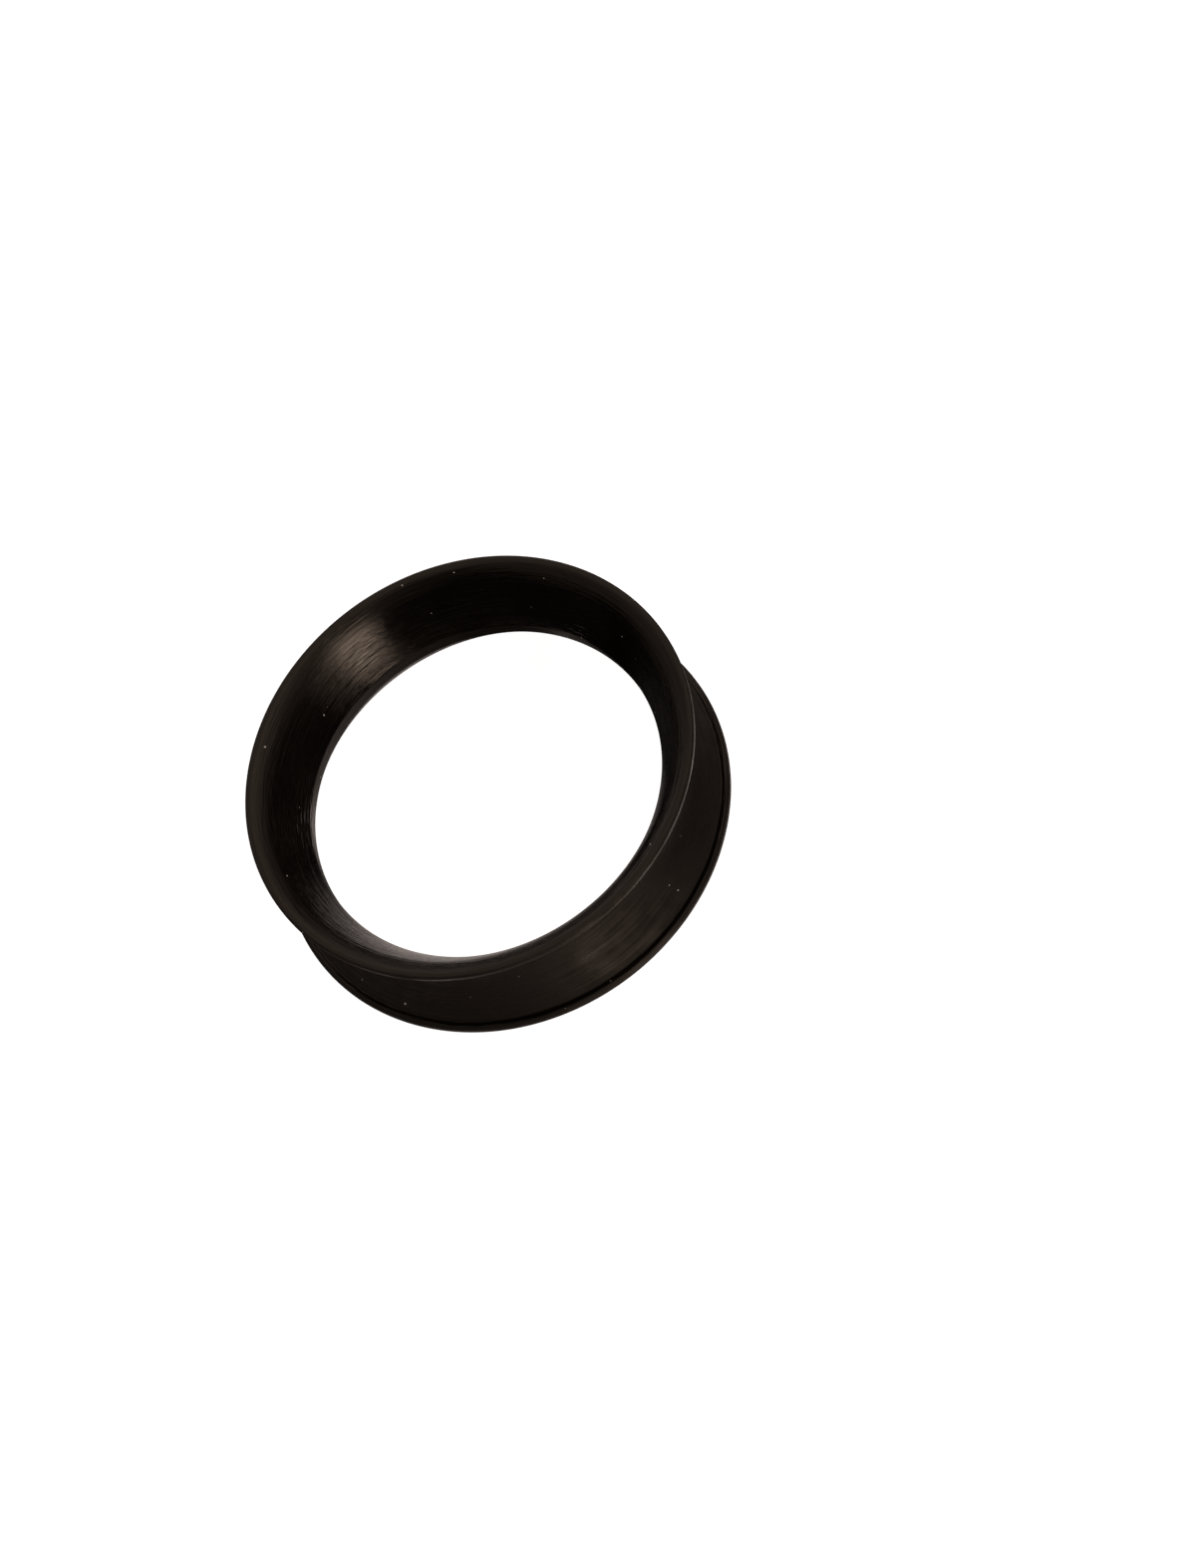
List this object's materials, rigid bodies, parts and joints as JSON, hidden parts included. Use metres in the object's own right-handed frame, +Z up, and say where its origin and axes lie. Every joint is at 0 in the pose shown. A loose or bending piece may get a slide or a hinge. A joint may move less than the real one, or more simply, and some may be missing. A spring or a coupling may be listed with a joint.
{
  "type": "ear tunnel",
  "caption": "Double-flared ear tunnel: a soft silicone ring with an open hole, a concave saddle round the outside and thin flared lips.",
  "frame": {"origin": "middle of the lower rim plane, on the hole's axis, where the tunnel rests", "axes": "+Z up along the hole's axis; X and Y lie in the rim plane and can be turned freely, because the tunnel is round"},
  "size_m": [0.033, 0.033, 0.0088],
  "materials": {
    "silicone": "satin, with fine turned mould lines round it"
  },
  "bodies": {
    "root": {"tunnel": "silicone"}
  },
  "joints": []
}
